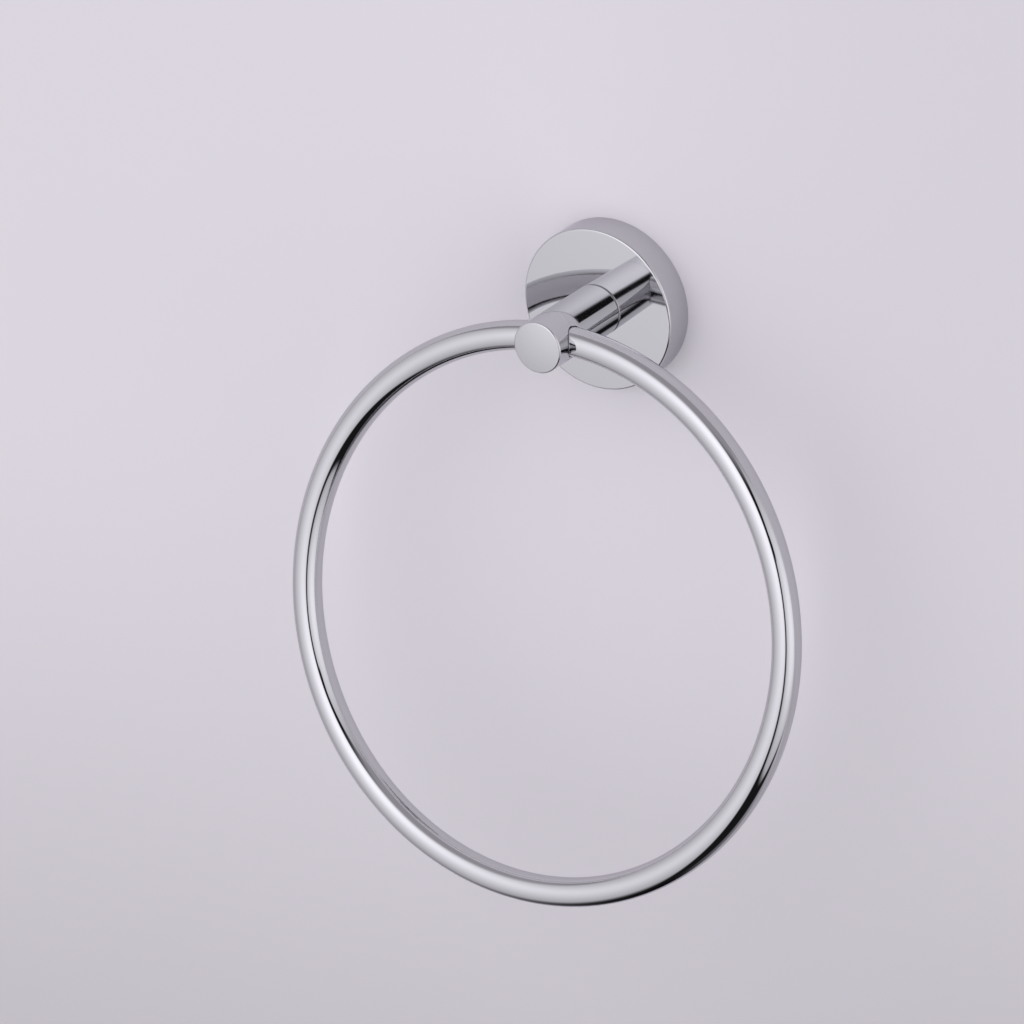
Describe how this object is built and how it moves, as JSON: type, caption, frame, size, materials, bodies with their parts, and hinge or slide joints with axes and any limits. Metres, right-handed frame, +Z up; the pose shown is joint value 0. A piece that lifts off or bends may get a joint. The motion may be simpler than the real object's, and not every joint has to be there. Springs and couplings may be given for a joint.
{
  "type": "towel ring",
  "caption": "Wall-mounted towel ring: a bent round bar clamped in a round post on a circular rosette, leaning slightly out from the wall.",
  "frame": {"origin": "centre of the rosette on the wall plane, midway between the two wall screws", "axes": "+Y into the wall, against which the part sits; +X to the right and +Z up for someone who faces the wall"},
  "size_m": [0.188, 0.0743, 0.2074],
  "materials": {
    "chrome": "mirror-polished chrome plating",
    "plated_steel": "bright zinc-plated steel",
    "cast_zinc": "plain zinc casting, slightly rough"
  },
  "bodies": {
    "root": {"ring": "chrome", "cap": "chrome", "post": "chrome", "rosette": "chrome", "tie_screw": "plated_steel", "flat_washer": "plated_steel", "spring_washer": "plated_steel", "locating_pin": "plated_steel", "grub_screw": "plated_steel", "mounting_plate": "cast_zinc"}
  },
  "joints": []
}
